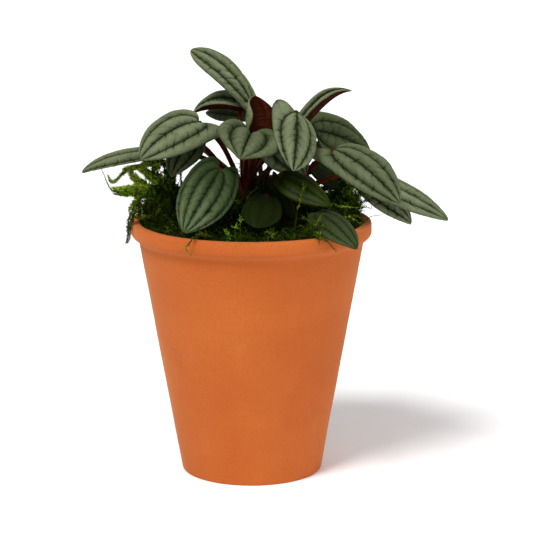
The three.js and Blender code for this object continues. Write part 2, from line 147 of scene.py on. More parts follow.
def geometry_tree(name, **inputs):
    """A Geometry Nodes tree with named inputs of each kind; gives it and its inputs by name."""
    tree = bpy.data.node_groups.new(name, "GeometryNodeTree")
    for kind, labels in {"Geometry": ["start"], **inputs, "Material": ["finish"]}.items():
        for label in labels:
            tree.interface.new_socket(label, in_out="INPUT", socket_type="NodeSocket" + kind)
    tree.interface.new_socket("result", in_out="OUTPUT", socket_type="NodeSocketGeometry")
    given = tree.nodes.new("NodeGroupInput").outputs
    return tree, SimpleNamespace(**{entry.name: Formula(entry) for entry in given if entry.name})


def close_tree(given, geometry):
    """Ends a tree: copies are made real, and the material is set."""
    tree = geometry.id_data
    real = geo(tree, "RealizeInstances", {"Geometry": geometry})
    dressed = geo(tree, "SetMaterial", {"Geometry": real, "Material": given.finish})
    smooth = geo(tree, "SetShadeSmooth", {"Geometry": dressed})
    feed(tree.nodes.new("NodeGroupOutput").inputs[0], smooth)


def grow(name, tree_name, start=None, **values):
    """Runs a tree on a starting mesh and keeps the result as a plain mesh object."""
    piece = bpy.data.objects.new(name, start or bpy.data.meshes.new(name))
    scene.collection.objects.link(piece)
    modifier = piece.modifiers.new(name, "NODES")
    modifier.node_group = bpy.data.node_groups[tree_name]
    for item in modifier.node_group.interface.items_tree:
        if item.in_out == "INPUT" and item.name in values:
            modifier[item.identifier] = values[item.name]
    piece.update_tag()
    view = bpy.context.evaluated_depsgraph_get()
    mesh = bpy.data.meshes.new_from_object(
        piece.evaluated_get(view), preserve_all_data_layers=True, depsgraph=view
    )
    piece.modifiers.clear()
    piece.data = mesh
    mesh.name = name
    return piece


def parts(vector):
    """The x, y and z of a vector in a tree."""
    node = add(vector.id_data, "ShaderNodeSeparateXYZ", {"Vector": vector})
    return [Formula(output) for output in node.outputs]


def xyz(x, y, z):
    """A vector in a tree, from its parts."""
    return add(x.id_data, "ShaderNodeCombineXYZ", {"X": x, "Y": y, "Z": z})


def position(tree):
    return geo(tree, "InputPosition")


def sheet(tree, rows, columns):
    """A flat grid, with its points' places along and across it, from -0.5 to 0.5."""
    grid = geo(tree, "MeshGrid", {"Vertices X": rows, "Vertices Y": columns})
    return grid, *parts(position(tree))[:2]


def bent(grid, places, gap):
    """The grid with its points in their places, and those nearer than the gap made one."""
    moved = geo(grid.id_data, "SetPosition", {"Geometry": grid, "Position": places})
    return geo(grid.id_data, "MergeByDistance", {"Geometry": moved, "Distance": gap})


def paint(code):
    """A colour written as in a paint list, such as cb6a35, made linear."""
    shares = [int(code[i : i + 2], 16) / 255 for i in (0, 2, 4)]
    linear = [c / 12.92 if c <= 0.04045 else ((c + 0.055) / 1.055) ** 2.4 for c in shares]
    return (*linear, 1.0)


def finish(name, looks):
    """A new material with its shader's settings; gives it with its tree and its shader."""
    material = bpy.data.materials.new(name)
    material.use_nodes = True
    shader = material.node_tree.nodes["Principled BSDF"]
    for label, value in looks.items():
        shader.inputs[label].default_value = value
    return material, material.node_tree, shader


def object_place(tree):
    return add(tree, "ShaderNodeTexCoord").outputs["Object"]


def speckle(place, scale, detail=2, roughness=0.5):
    """Cloudy noise from 0 to 1."""
    values = {"Vector": place, "Scale": scale, "Detail": detail, "Roughness": roughness}
    return Formula(add(place.id_data, "ShaderNodeTexNoise", values))


def ramp(value, low, high):
    """0 below low, 1 above high and a smooth step between them."""
    values = {"Value": value, "From Min": low, "From Max": high}
    node = add(value.id_data, "ShaderNodeMapRange", values, interpolation_type="SMOOTHSTEP")
    return Formula(node)


def mix(share, first, second):
    """Two colours, or their codes, mixed by a share from 0 to 1."""
    first, second = (paint(c) if isinstance(c, str) else c for c in (first, second))
    values = {0: share, 6: first, 7: second}
    return add(share.id_data, "ShaderNodeMix", values, data_type="RGBA").outputs[2]


def bump(shader, height, distance):
    """Fine relief on a shader, of the given height in metres."""
    relief = add(shader.id_data, "ShaderNodeBump", {"Height": height, "Distance": distance})
    feed(shader.inputs["Normal"], relief)


def bezier(a, b, c, d, count):
    """Points on the way from a to d, without a itself."""
    for n in range(1, count + 1):
        u = n / count
        w = ((1 - u) ** 3, 3 * u * (1 - u) ** 2, 3 * u * u * (1 - u), u**3)
        yield tuple(sum(k * p[i] for k, p in zip(w, (a, b, c, d))) for i in range(len(a)))


def inner_radius(height):
    return FOOT_RADIUS + WALL_SLOPE * height - WALL


def mouth_radius(height):
    share = max(0, (height - NECK_HEIGHT) / (POT_HEIGHT - NECK_HEIGHT))
    return inner_radius(height) + (LIP_RADIUS - inner_radius(POT_HEIGHT)) * share


def chain(name, runs, **values):
    """A mesh of lines through runs of points, with numbers on the points."""
    mesh = bpy.data.meshes.new(name)
    points, edges = [], []
    for run in runs:
        edges += [(len(points) + n, len(points) + n + 1) for n in range(len(run) - 1)]
        points += run
    mesh.from_pydata(points, edges, [])
    for label, numbers in values.items():
        layer = mesh.attributes.new(label, "FLOAT", "POINT")
        layer.data.foreach_set("value", numbers)
    return mesh


rim_top = ((RIM_RADIUS + LIP_RADIUS) / 2, POT_HEIGHT)
lip = (mouth_radius(POT_HEIGHT - LIP_DROP), POT_HEIGHT - LIP_DROP)
section = [(0, 0)]


def straight(end, count):
    """Carries the pot's section on to a point, straight."""
    section.extend(bezier(section[-1], section[-1], end, end, count))


def rounded(corner, end, count):
    """Carries the pot's section on to a point, round a corner."""
    section.extend(bezier(section[-1], corner, corner, end, count))


straight((FOOT_RADIUS - FOOT_EDGE, 0), 8)
rounded((FOOT_RADIUS, 0), (FOOT_RADIUS + WALL_SLOPE * FOOT_EDGE, FOOT_EDGE), 6)
straight((NECK_RADIUS, NECK_HEIGHT), 44)
section += bezier(
    section[-1], (NECK_RADIUS + 0.5 * MM, NECK_HEIGHT + 2.6 * MM),
    (RIM_RADIUS, NECK_HEIGHT + 2.2 * MM), (RIM_RADIUS, RIM_WIDEST), 14,
)
rounded((RIM_RADIUS, POT_HEIGHT), rim_top, 10)
rounded((LIP_RADIUS, POT_HEIGHT), lip, 8)
straight((mouth_radius(NECK_HEIGHT), NECK_HEIGHT), 4)
straight((inner_radius(FLOOR + FLOOR_ROUND), FLOOR + FLOOR_ROUND), 12)
rounded((inner_radius(FLOOR), FLOOR), (inner_radius(FLOOR) - FLOOR_ROUND, FLOOR), 4)
straight((0, FLOOR), 6)

tree, given = geometry_tree(
    "turned_pot", Int=["points", "steps"], Float=["wobble", "drain_radius", "drain_circle"]
)
grid, along, across = sheet(tree, given.points, given.steps + 1)
row = ((along + 0.5) * (given.points - 1)).math("ROUND")
angle = across * FULL_TURN
at_row = geo(
    tree, "SampleIndex",
    {"Geometry": given.start, "Value": position(tree), "Index": row},
    data_type="FLOAT_VECTOR",
)
radius, _, height = parts(at_row)
round_place = xyz(angle.cos(), angle.sin(), height * 40)
wave = (speckle(round_place, 1.6, detail=3) - 0.5) * given.wobble
radius = radius + wave * ramp(radius, 0.02, 0.03)
wall = bent(grid, xyz(radius * angle.cos(), radius * angle.sin(), height), 1e-6)
drill = geo(
    tree, "MeshCylinder",
    {"Vertices": 40, "Radius": given.drain_radius, "Depth": 4 * FLOOR},
)
circle = geo(tree, "MeshCircle", {"Vertices": DRAINS, "Radius": given.drain_circle})
circle = geo(tree, "Transform", {"Geometry": circle, "Rotation": (0, 0, math.pi / DRAINS)})
drills = geo(tree, "InstanceOnPoints", {"Points": circle, "Instance": drill})
drills = geo(tree, "RealizeInstances", {"Geometry": drills})
drilled = geo(tree, "MeshBoolean", {"Mesh 1": wall, "Mesh 2": drills}, operation="DIFFERENCE")
close_tree(given, drilled)

terracotta, tree, shader = finish(
    "terracotta",
    {
        "Roughness": 0.9, "Specular IOR Level": 0.12, "Sheen Weight": 0.18,
        "Sheen Roughness": 0.45, "Sheen Tint": paint("ffd2a0"),
    },
)
place = object_place(tree)
grain = speckle(place, 900, detail=3, roughness=0.7)
colour = mix(ramp(speckle(place, 26, detail=4), 0.3, 0.7), "b25926", "b9602b")
chalk = ramp(speckle(place, 60, detail=5, roughness=0.7), 0.55, 0.8)
colour = mix(chalk * 0.1, colour, "cc8a5c")
colour = mix(ramp(grain, 0.45, 0.75) * 0.35, colour, "a04a1d")
spots = add(tree, "ShaderNodeTexVoronoi", {"Vector": place, "Scale": 130.0})
pits = 1 - ramp(Formula(spots.outputs["Distance"]), 0.03, 0.07)
pits = pits * ramp(speckle(place, 45, detail=1), 0.6, 0.64)
colour = mix(pits * 0.8, colour, "5f2f1b")
x, y, z = parts(place)
# Painted shade with soil stain: the inner wall near the top of the mouth is darkened, where the
# moss shades it.
inside = 1 - ramp((x * x + y * y).root(), 49.5 * MM, 53 * MM)
mouth_shade_and_soil = inside * ramp(z, 108 * MM, 112 * MM) * ramp(speckle(place, 140, detail=3), 0.3, 0.55)
colour = mix(mouth_shade_and_soil * 0.85, colour, "34190d")
crumbs = ramp(speckle(place, 950), 0.64, 0.69) * ramp(z, 113 * MM, 115.5 * MM)
colour = mix(crumbs * 0.6, colour, "5a2b14")
feed(shader.inputs["Base Color"], colour)
stretch = add(tree, "ShaderNodeMapping", {"Vector": place, "Scale": (12.0, 12.0, 420.0)})
rings = speckle(stretch, 1.0, detail=3)
bump(shader, grain * 0.12 + rings * 0.5 - pits * 0.8, 0.4 * MM)

pot = grow(
    "clay_pot", "turned_pot", chain("pot_section", [[(r, 0, z) for r, z in section]]),
    points=len(section), steps=POT_STEPS, wobble=WOBBLE, drain_radius=DRAIN_RADIUS,
    drain_circle=DRAIN_CIRCLE, finish=terracotta,
)
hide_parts("pot")
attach(pot, "root")

# The potting soil: dark, crumbly compost pressed into the pot, with the stems standing in it.
# Its solid is kept, and shows only through the drain holes.

compost, tree, shader = finish("compost", {"Roughness": 0.95})
crumbs = speckle(object_place(tree), 420, detail=6, roughness=0.7)
feed(shader.inputs["Base Color"], mix(ramp(crumbs, 0.35, 0.7), "17100b", "4a3524"))
bump(shader, crumbs, 2 * MM)
soil = frame["nodes"]["potting_soil"]
soil.data.materials.clear()
soil.data.materials.append(compost)

# The plants: four young peperomias. Each has a short crown, dark red stalks and one thick,
# puckered blade on every stalk, silver-green above and maroon below. Lengths are millimetres
# and angles radians; base is where the stalk joins the blade, and face is where it looks.

USUAL_LEAF = dict(
    arch=0.5, fold=-0.1, curl=-0.35, hook=0, lobes=0.24, funnel=1.2, taper=2.2, pucker=0.8,
    kind="silver", pale=1.0, skew=0.0, lobe_place=0.1, lobe_edge=2.0, lopsided=0.0,
    veins=0.56,  # from one long vein to the next, where the margin is at 1
)


def leaf_of(base, tip, face, width, **shape):
    """A leaf: where its stalk ends, where its tip is, where it looks, its width and its shape."""
    return {**USUAL_LEAF, "base": base, "tip": tip, "face": face, "width": width, **shape}


PLANTS = {}  # where the crown stands, how high it reaches, and its leaves
PLANTS["crown_1"] = (-3, 4), 128, dict(
    leaf_01=leaf_of(
        (-1, 9, 169.5), (-26.4, 14, 193.4), (0.45, -0.6, 0.65), 13, arch=0.9, fold=-0.2, hook=2.5,
        taper=7, via=[(-0.5, 6, 140), (0.5, 7, 156), (0, 8, 164)],
    ),
    leaf_02=leaf_of(
        (-4.5, 15, 164), (-26.5, 20, 162.5), (-0.1, -0.4, 0.9), 17, arch=0.65, fold=0.65, curl=0.1,
        via=[(-4, 7, 140), (-5, 9.2, 156), (-5.2, 11.5, 161.6)],
    ),
    # Painted shade: leaf_03 lies in shade, so its silver (pale) is lowered.
    leaf_03=leaf_of((-1.5, 16, 161), (-21, 27, 161.4), (0, -0.3, 1), 13, pale=0.2, taper=3),
    leaf_04=leaf_of(
        (0.5, -2, 155), (1.8, 1, 173), (-0.55, 1, 0.1), 24, fold=-0.4, curl=-1.3, pucker=0.35,
        taper=3,
    ),
    leaf_05=leaf_of(
        (-23.5, -8, 161.8), (-49, -22, 147.5), (-0.15, -0.7, 0.75), 24.5, arch=1.2, lobes=0.3,
        skew=0.62, lobe_place=0.1, funnel=2.8, taper=2.6,
        via=[(-5, 2, 132), (-12, -2, 149), (-18.5, -6, 157.8)],
    ),
    leaf_06=leaf_of(
        (-38, 8, 146), (-77, 0, 140), (0, -0.3, 1), 10.4, arch=0.4, hook=2.2, taper=4, veins=0.8,
        via=[(-8, 5, 133), (-19, 6, 142.2), (-28, 7.5, 145.2)],
    ),
    # Painted shade: leaf_07's face lies in shade, so its silver (pale) is lowered.
    leaf_07=leaf_of(
        (-26.5, -2, 152.5), (-35.5, -16, 139), (-0.4, -0.7, 0.6), 17, pale=0.35, lobes=0.5,
        skew=-0.5, via=[(-5, 4, 131), (-13.5, 2, 140.4), (-20.3, 0, 148.7)],
    ),
    leaf_09=leaf_of(
        (-0.4, -12, 156.5), (-4.9, -38, 150), (0.25, -0.4, 0.9), 26.2, pale=0.6, fold=0.27,
        funnel=3, taper=4, pucker=1.2,
    ),
    leaf_10=leaf_of(
        (20, -10, 166.5), (18, -36, 144.5), (0.28, -0.75, 0.5), 25, fold=-0.3, curl=-0.5,
        lobes=0.31, skew=-0.75, lobe_place=0.18, lobe_edge=4.5, lopsided=0.09,
    ),
    leaf_11=leaf_of((10, -5.5, 156.3), (24, -12, 138.6), (0.2, -0.8, 0.5), 23, pale=0.6),
    leaf_12=leaf_of(
        (24, 6, 158), (42.5, 8, 177.3), (-0.4, -0.3, 0.85), 12, arch=0.05, fold=0.65, curl=0.1,
        hook=5, taper=4,
    ),
    leaf_24=leaf_of((-27, 22, 151), (-47, 40, 141), (-0.3, 0.4, 0.9), 18),
    # leaf_13's lowered silver (pale) is partly its own darker tone and partly painted shade, as it
    # turns away from the light.
    leaf_13=leaf_of(
        (29, 14, 155), (55.5, 26, 142), (0.1, -0.75, 0.65), 26, pale=0.38, arch=0.7, lobes=0.2,
        skew=1.0,
    ),
)
PLANTS["crown_2"] = (13, -3), 126, dict(
    leaf_14=leaf_of(
        (37, -12, 150), (65, -32, 129.5), (0.15, -0.75, 0.6), 20.5, pale=0.66, arch=0.9, lobes=0.25,
        taper=3.2, skew=-0.9, lobe_edge=3.5, lopsided=0.08,
        via=[(21, -5, 134.5), (28, -8, 143), (33, -10.5, 147.6)],
    ),
    leaf_15=leaf_of(
        (46, 6, 137), (90, 0, 116.5), (0.3, -0.5, 0.8), 17, arch=0.35, hook=1, taper=3,
        via=[(24, -4, 130.5), (31, -4, 134.3), (39.5, -1.5, 136.8)],
    ),
    leaf_16=leaf_of(
        (53, 14, 129), (75, 14, 112.5), (0.4, -0.7, 0.7), 15, hook=2.5,
        via=[(28, 4, 128), (40, 10, 130)],
    ),
    leaf_17=leaf_of(
        (13.5, -17, 138.6), (34.5, -31, 128.1), (0.1, -0.7, 0.7), 15.5, lobes=0.13, pucker=0.1,
        kind="young",
    ),
    leaf_20=leaf_of(
        (10, -9, 136), (20, -18, 119.5), (-0.75, -0.35, 0.5), 9, pucker=0.1, pale=0.3, kind="young",
    ),
    leaf_21=leaf_of(
        (29.5, 2, 139), (44.5, 6, 129.5), (0.2, -0.6, 0.8), 13, pucker=0.1, pale=0.3, kind="young",
    ),
)
PLANTS["crown_3"] = (2, -14), 122, dict(
    leaf_08=leaf_of(
        (-14, -22, 142.5), (-29.5, -41, 118), (0, -0.9, 0.4), 24, taper=2.4, kind="green",
        veins=0.42,
    ),
    leaf_18=leaf_of(
        (6.5, -20, 130.5), (2, -38, 119.5), (0, -0.7, 0.7), 17, taper=4, lobes=0.06, pucker=0.1,
        pale=0.08, kind="young",
    ),
    leaf_19=leaf_of(
        (29.5, -30, 124.5), (45.5, -54, 113.5), (0.1, -0.5, 0.8), 17, lobes=0.14, pucker=0.22,
        kind="satin", via=[(14, -20, 111), (24, -26, 114.5)],
    ),
)
PLANTS["crown_4"] = (5, 23), 124, dict(
    leaf_22=leaf_of((34, 30, 146), (52, 52, 126), (0.3, 0.5, 0.8), 20),
    leaf_23=leaf_of((14, 34, 150), (20, 58, 128), (0.1, 0.6, 0.8), 20),
    leaf_25=leaf_of((2, 32, 154), (2, 58, 142), (-0.1, 0.3, 0.9), 18),
    leaf_26=leaf_of((-16, 40, 128), (-26, 64, 112), (-0.2, 0.6, 0.8), 20, kind="green"),
    leaf_27=leaf_of((6, 42, 128), (8, 66, 112), (0, 0.6, 0.8), 18, kind="green"),
    leaf_28=leaf_of((22, 40, 130), (30, 62, 112), (0.3, 0.6, 0.8), 16, pucker=0.3, kind="young"),
)


def leaf_axes(leaf):
    """The blade's base, its length, and the ways along it, across it and out of its face."""
    base = Vector(leaf["base"])
    along = Vector(leaf["tip"]) - base
    length = along.length
    along.normalize()
    out = Vector(leaf["face"])
    out = (out - out.dot(along) * along).normalized()
    return base, length, along, out.cross(along), out


# The crowns and stalks: smooth and juicy, dark red, a little swollen at both ends. Each plant's
# crown and stalks grew as one piece. Geometry Nodes carry a round section along every path.

STALK_RADIUS = 1.3 * MM
STALK_SIDES = 14
STALK_POINTS = 26
STALK_KNOTS = 0.25 * MM
CROWN_RADIUS = 3.0 * MM
CROWN_BOTTOM = 90
CROWN_ROOT = 8  # the stalks start this far under the crown's top
CROWN_STEPS = 12


def smooth_path(points, count):
    """Points on a smooth curve through the given ones."""
    points = [Vector(p) for p in points]
    ends = [2 * points[0] - points[1], *points, 2 * points[-1] - points[-2]]
    path = []
    for n in range(count):
        u = n / (count - 1) * (len(points) - 1)
        k = min(int(u), len(points) - 2)
        u -= k
        a, b, c, d = ends[k : k + 4]
        path.append(
            0.5 * (2 * b + (c - a) * u + (2 * a - 5 * b + 4 * c - d) * u**2
                   + (3 * b - a - 3 * c + d) * u**3)
        )
    return path


def stalk_path(root, leaf):
    base, _, along, _, out = leaf_axes(leaf)
    if "via" in leaf:
        return smooth_path([root, *leaf["via"], base], STALK_POINTS)
    length = (base - root).length
    rising = root + Vector((0, 0, 0.45 * length))
    arriving = base - 0.3 * length * out - 0.15 * length * along
    return [root, *(Vector(p) for p in bezier(root, rising, arriving, base, STALK_POINTS - 1))]


def stalk_girth(u):
    """The stalk's radius from root (0) to blade (1)."""
    return STALK_RADIUS * (0.88 + 0.55 * math.exp(-9 * u) + 0.22 * math.exp(-16 * (1 - u)))


def steps_of(count):
    """Even shares from 0 to 1."""
    return [n / (count - 1) for n in range(count)]


def point_number(tree, name):
    """A number kept on a mesh's points, for a geometry tree."""
    return geo(tree, "InputNamedAttribute", {"Name": name})


def own_number(tree, name):
    """A number kept on a mesh's points, for a material."""
    return Formula(add(tree, "ShaderNodeAttribute", attribute_name=name).outputs["Fac"])


def tube(lines, sides):
    """A round skin on lines, as thick as the girth kept on their points."""
    tree = lines.id_data
    ring = geo(tree, "CurvePrimitiveCircle", {"Resolution": sides})
    girth = point_number(tree, "girth")
    return geo(
        tree, "CurveToMesh",
        {"Curve": lines, "Profile Curve": ring, "Scale": girth, "Fill Caps": True},
    )


def scaled(vector, share):
    values = {0: vector, "Scale": share}
    return add(vector.id_data, "ShaderNodeVectorMath", values, operation="SCALE")


tree, given = geometry_tree("stalks", Int=["sides"], Float=["knots"])
lines = geo(tree, "MeshToCurve", {"Mesh": given.start})
knot = (speckle(position(tree), 160) - 0.5) * given.knots
skin = geo(
    tree, "SetPosition",
    {
        "Geometry": tube(lines, given.sides),
        "Offset": scaled(geo(tree, "InputNormal"), knot),
    },
)
close_tree(given, skin)

stalk_skin, tree, shader = finish(
    "stalk_skin",
    {
        "Roughness": 0.45, "Specular IOR Level": 0.05, "Subsurface Weight": 0.12,
        "Subsurface Radius": (0.002, 0.0008, 0.0004),
    },
)
place = object_place(tree)
rise = own_number(tree, "rise")
colour = mix(ramp(speckle(place, 120, detail=3), 0.35, 0.7), "200902", "421605")
# Painted light: the stalks grow lighter red-brown towards the blade, where they stand in the light,
# and stay dark low down.
colour = mix(ramp(rise, 0.4, 0.95) * 0.6, colour, "5f250c")
colour = mix(ramp(rise, 0.93, 1.0) * 0.7, colour, "3b2009")
feed(shader.inputs["Base Color"], colour)
stretch = add(tree, "ShaderNodeMapping", {"Vector": place, "Scale": (900.0, 900.0, 160.0)})
bump(shader, speckle(stretch, 1.0), 0.2 * MM)

for name, (foot, top, leaves) in PLANTS.items():
    rises = steps_of(CROWN_STEPS + 1)
    runs = [[Vector((*foot, CROWN_BOTTOM + u * (top - CROWN_BOTTOM))) * MM for u in rises]]
    girths = [CROWN_RADIUS * (1 - 0.3 * u) for u in rises]
    rises = [0.0] * len(rises)
    root = Vector((*foot, top - CROWN_ROOT))
    for leaf in leaves.values():
        runs.append([p * MM for p in stalk_path(root, leaf)])
        girths += [stalk_girth(u) for u in steps_of(STALK_POINTS)]
        rises += steps_of(STALK_POINTS)
    stalks = grow(
        "stalks_" + name, "stalks", chain(name, runs, girth=girths, rise=rises),
        sides=STALK_SIDES, knots=STALK_KNOTS, finish=stalk_skin,
    )
    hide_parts(name)
    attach(stalks, "root")

# The leaf blades: thick and soft, with the midrib and four side veins sunk deep and the bands
# between them puffed up, and cross veins that nick the bands. One Geometry Nodes tree makes them
# all: s runs from the stalk to the tip and t from margin to margin; both stay on the mesh.

BLADE_THICKNESS = 0.9 * MM
BLADE_ROWS = 72
BLADE_COLUMNS = 36
PUCKER_DEPTH = 2.6  # the living blade is more deeply puckered than the simple one
CROSS_VEINS = 8
SEED_STEP = 3.7
LEAF_LENGTHS = ("width", "hook", "funnel")
LEAF_NUMBERS = [name for name in USUAL_LEAF if name not in ("hook", "funnel", "pucker", "kind")]


def main_veins(band):
    """0 on the midrib and the side veins, 1 in the middle of the bands between them."""
    return abs((band * math.pi).sin())


def cross_veins(s, band, seed):
    """1 on the cross veins, which leave the midrib slanting to the tip; 0 between them."""
    spot = xyz(s * 3, band * 0.8, seed + band.sign() * 3)
    shift = speckle(spot, 1.0, detail=1) * 0.4
    swing = ((s - abs(band) * 0.16 + shift) * (FULL_TURN * CROSS_VEINS)).cos()
    return swing.at_least(0) ** (main_veins(band) * 16 + 4)


def summed(total, *vectors):
    for vector in vectors:
        total = add(total.id_data, "ShaderNodeVectorMath", {0: total, 1: vector})
    return total


def keep_number(geometry, name, value):
    """The geometry with a number kept on its points."""
    values = {"Geometry": geometry, "Name": name, "Value": value}
    return geo(geometry.id_data, "StoreNamedAttribute", values)


tree, leaf = geometry_tree(
    "leaf_blade", Int=["rows", "columns"], Vector=["base", "along", "across", "out"],
    Float=[*LEAF_LENGTHS, *LEAF_NUMBERS, "length", "thickness", "pucker", "seed"],
)
geometry, s, around = sheet(tree, leaf.rows, leaf.columns)
s = (s + 0.5).at_least(0) ** 1.3
t = abs(around) * 4 - 1
t = abs(t).at_most(1) * t.sign()
upper = (-around).sign()
full = (1 - (s * -6.5).exp()) * 1.22 * (1 - s**leaf.taper).at_least(0) ** 0.78
lobe_way = s / leaf.lobe_place
lobe = abs(t) ** leaf.lobe_edge * lobe_way * (1 - lobe_way).exp()
reach = s - leaf.lobes * lobe * (t * leaf.skew + 1)
half_arch = leaf.arch / 2
lean = half_arch - leaf.arch * reach
bend = leaf.length / (half_arch.sin() * 2)
forward = bend * (half_arch.sin() - lean.sin())
raised = bend * (lean.cos() - half_arch.cos()) - leaf.hook * s**5
half = abs(t) * leaf.width * full / 2 * (t * leaf.lopsided + 1)
roll = leaf.curl / (leaf.width / 2)
slant = leaf.fold + roll * half
side = t.sign()
sideways = side * (slant.sin() - leaf.fold.sin()) / roll
upward = (leaf.fold.cos() - slant.cos()) / roll + leaf.funnel * lobe
band = t / leaf.veins
nick = cross_veins(s, band, leaf.seed)
bands = main_veins(band) ** 0.6 * (1 - (t * t) ** 4 * 0.7) * (1 - nick * 0.6)
margin = (1 - (t * t) ** 5).at_least(0).root()
lift = upper * leaf.thickness * 0.5 * margin * (full * 8).at_most(1)
sway_place = xyz(s * 2.5, t * 1.3, leaf.seed + 40)
sway = (speckle(sway_place, 1.0, detail=1) - 0.5) * 0.14 * leaf.width * t * t
stand = lift + (leaf.pucker * bands + sway) * full
x = sideways - side * slant.sin() * stand
z = upward + slant.cos() * stand
places = summed(
    leaf.base,
    scaled(leaf.along, forward - lean.sin() * z),
    scaled(leaf.out, raised + lean.cos() * z),
    scaled(leaf.across, x),
)
marks = dict(s=s, band=band, side=upper, pale=leaf.pale, seed=leaf.seed)
for name, value in marks.items():
    geometry = keep_number(geometry, "leaf_" + name, value)
close_tree(leaf, bent(geometry, places, 2e-6))


def leaf_finish(name, band, crest, vein, under, roughness, gloss, late, grain):
    """The skin of a blade: puffed bands, sunken veins and the underside."""
    material, tree, shader = finish(
        name,
        {
            "Roughness": roughness, "Specular IOR Level": gloss, "Subsurface Weight": 0.06,
            "Subsurface Radius": (0.0006, 0.001, 0.0004),
        },
    )
    s, band_place, side, pale, seed = (own_number(tree, "leaf_" + label) for label in marks)
    place = object_place(tree)
    bands = main_veins(band_place)
    outer = ramp(abs(band_place), 1.2, 1.6)
    middle = 1 - ramp(abs(band_place), 0.1, 0.4)
    uneven = ramp(speckle(place, 420, detail=3), 0.32, 0.68)
    line = (1 - ramp(bands, 0.02, uneven * 0.26 + 0.1 + middle * 0.08)) * (1 - outer * 0.6)
    # Painted shade: a broad darkening in the sunken valleys beside the veins, where the puffed
    # bands shade them.
    painted_valley_shade = (1 - ramp(bands, 0.05, uneven * 0.4 + 0.3)) * (1 - outer * 0.7)
    nick = cross_veins(s, band_place, seed) * (1 - ramp(bands, 0.45, 0.97))
    cells = speckle(place, 1900, detail=3, roughness=0.75)
    cloud = ramp(speckle(place, 160, detail=4, roughness=0.6), 0.3, 0.72)
    near_stalk = 1 - ramp(s, 0.0, late)
    # The silver share rises towards the middle of each band: partly the blade's own silver, partly
    # a painted highlight on the puffed crests.
    silver = cells * 1.2 - 0.5 + bands * 0.55 + cloud * 0.22 - nick * 0.3
    silver = silver.at_least(0).at_most(1) * (1 - near_stalk * 0.8) * pale
    colour = mix(silver, band, crest)
    for share in (painted_valley_shade * 0.5, nick * 0.7, line * 0.85):
        colour = mix(share, colour, vein)
    below = mix(ramp(line + nick * 0.4, 0.1, 0.8) * 0.35, under, "561c05")
    below = mix(cloud * 0.3, below, "2a0b01")
    feed(shader.inputs["Base Color"], mix(ramp(side, -0.35, -0.2), below, colour))
    bump(shader, cells * 0.5 + cloud * 0.5, grain)
    return material


LEAF_LOOKS = {  # bands, their crests, veins, underside; roughness, gloss, green till, grain
    "silver": ("27320e", "767f60", "0f1602", "361203", 0.5, 0.06, 0.06, 0.35 * MM),
    "green": ("152505", "5c6c48", "0c1600", "431503", 0.42, 0.06, 0.85, 0.22 * MM),
    "satin": ("1c2507", "3d4826", "0e1501", "431503", 0.4, 0.07, 0.95, 0.12 * MM),
    "young": ("111a02", "2b3708", "0e1602", "330f03", 0.4, 0.05, 0.5, 0.1 * MM),
}
LEAF_FINISHES = {kind: leaf_finish(kind + "_leaf", *looks) for kind, looks in LEAF_LOOKS.items()}
seed = 0.0
for _, _, leaves in PLANTS.values():
    for name, leaf in leaves.items():
        base, length, along, across, out = leaf_axes(leaf)
        seed += SEED_STEP
        blade = grow(
            "blade_" + name[-2:], "leaf_blade", rows=BLADE_ROWS, columns=2 * BLADE_COLUMNS + 1,
            base=base * MM, along=along, across=across, out=out, length=length * MM,
            **{size: leaf[size] * MM for size in LEAF_LENGTHS},
            **{size: float(leaf[size]) for size in LEAF_NUMBERS},
            pucker=leaf["pucker"] * PUCKER_DEPTH * MM, thickness=BLADE_THICKNESS,
            seed=seed, finish=LEAF_FINISHES[leaf["kind"]],
        )
        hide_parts(name)
        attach(blade, "root")

# The moss: living sheet moss packed round the stems, higher at the left. Its bed is one soft
# cushion,
# dark: partly the old moss's own colour, partly painted shade deep inside the moss; short sprigs
# grow all over it, strands wander and hang over the rim, and every sprig and strand is a thin stem
# with pointed leaflets.

SOIL_TOP = 101.3 * MM
BED_EDGE = 115.2 * MM
BED_CLEARANCE = 0.3 * MM
BED_HUMPS = [  # where, how high and how wide, in millimetres
    (-3, 8, 19, 16), (-39, 8, 17, 11), (38, 4, 15, 12), (4, 32, 7, 16),
]
BED_SINK = 1.6 * MM  # the sprigs make up the rest of the height
BED_LUMPS = 5 * MM
BED_RINGS = 64
BED_SPOKES = 120
TOP_SHARE = 0.9  # of the rings; the others are under the bed
SPRIGS = dict(density=0.9e6, spacing=1.6 * MM, clearance=2.5 * MM, lowest=110 * MM, seed=5)
SPRIG_LENGTH = 3.6
# How light each kind of sprig is: partly the moss's own colour, partly painted shade, most sprigs
# dark as in the shaded bed.
SPRIG_LIGHTS = [0.12, 0.2, 0.3, 0.15, 0.45, 0.8]


def chance(seed):
    """A number from 0 to 1 for each point, drawn from a seed."""
    return Formula(add(seed.id_data, "FunctionNodeRandomValue", {"Seed": seed}).outputs[1])


def turned(rotation, axis, angle):
    """A rotation with one more turn, about its own axis."""
    tree = rotation.id_data
    by = add(tree, "FunctionNodeAxisAngleToRotation", {"Axis": axis, "Angle": angle})
    values = {"Rotation": rotation, "Rotate By": by}
    return add(tree, "FunctionNodeRotateRotation", values, rotation_space="LOCAL")


def joined(*geometries):
    both = geo(geometries[0].id_data, "JoinGeometry")
    for geometry in geometries:
        feed(both.inputs[0], geometry)
    return both


